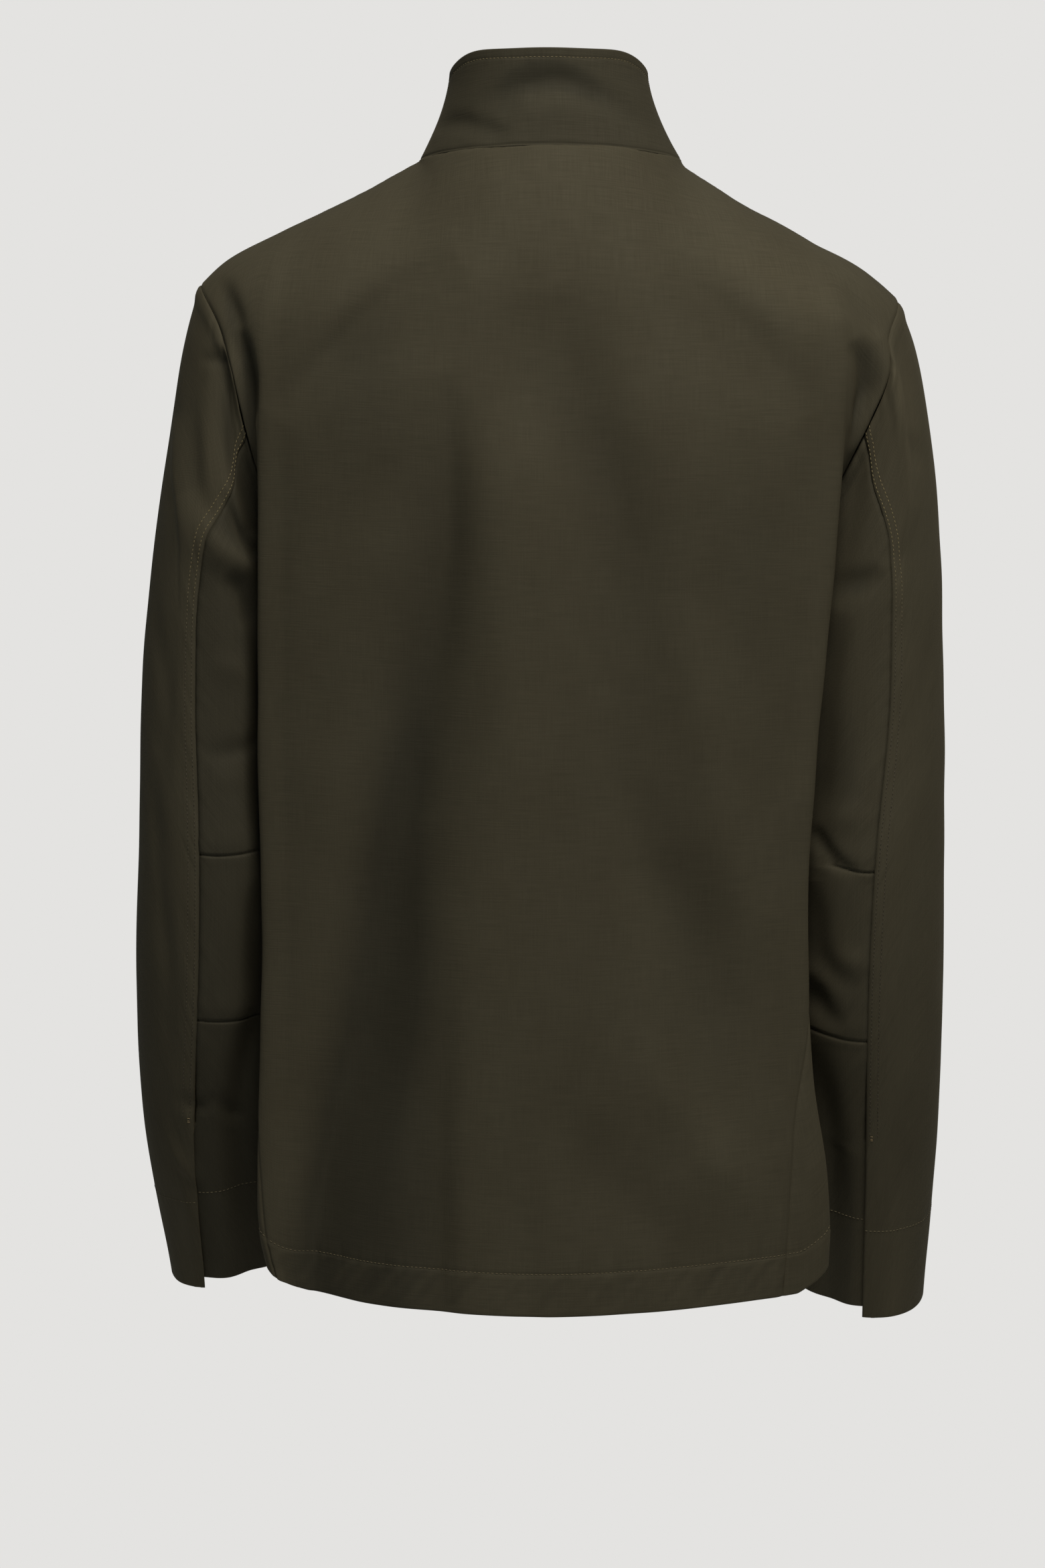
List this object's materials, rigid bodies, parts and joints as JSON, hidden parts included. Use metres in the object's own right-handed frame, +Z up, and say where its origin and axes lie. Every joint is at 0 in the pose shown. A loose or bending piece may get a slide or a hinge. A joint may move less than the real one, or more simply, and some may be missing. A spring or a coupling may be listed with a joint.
{
  "type": "field jacket",
  "caption": "Worn field jacket in olive cotton gabardine: stand collar, plain one-piece back, two-piece sleeves with elbow darts and vented cuffs, closed buttoned front.",
  "frame": {"origin": "On the middle of the body at the seam of collar and back panel, where the wearer's neck carries the jacket.", "axes": "+Z up, -Y the way the wearer faces, +X the wearer's left; the back panel faces +Y."},
  "size_m": [0.5115, 0.233, 0.7978],
  "materials": {
    "cloth": "dense fine cotton gabardine, olive, low sheen",
    "button": "dark olive four-hole button, satin"
  },
  "bodies": {
    "root": {"back": "cloth", "left_front": "cloth", "right_front": "cloth", "collar": "cloth", "left_top_sleeve": "cloth", "left_under_sleeve": "cloth", "right_top_sleeve": "cloth", "right_under_sleeve": "cloth", "button_1": "button", "button_2": "button", "button_3": "button", "button_4": "button", "button_5": "button", "button_6": "button", "button_7": "button"}
  },
  "joints": []
}
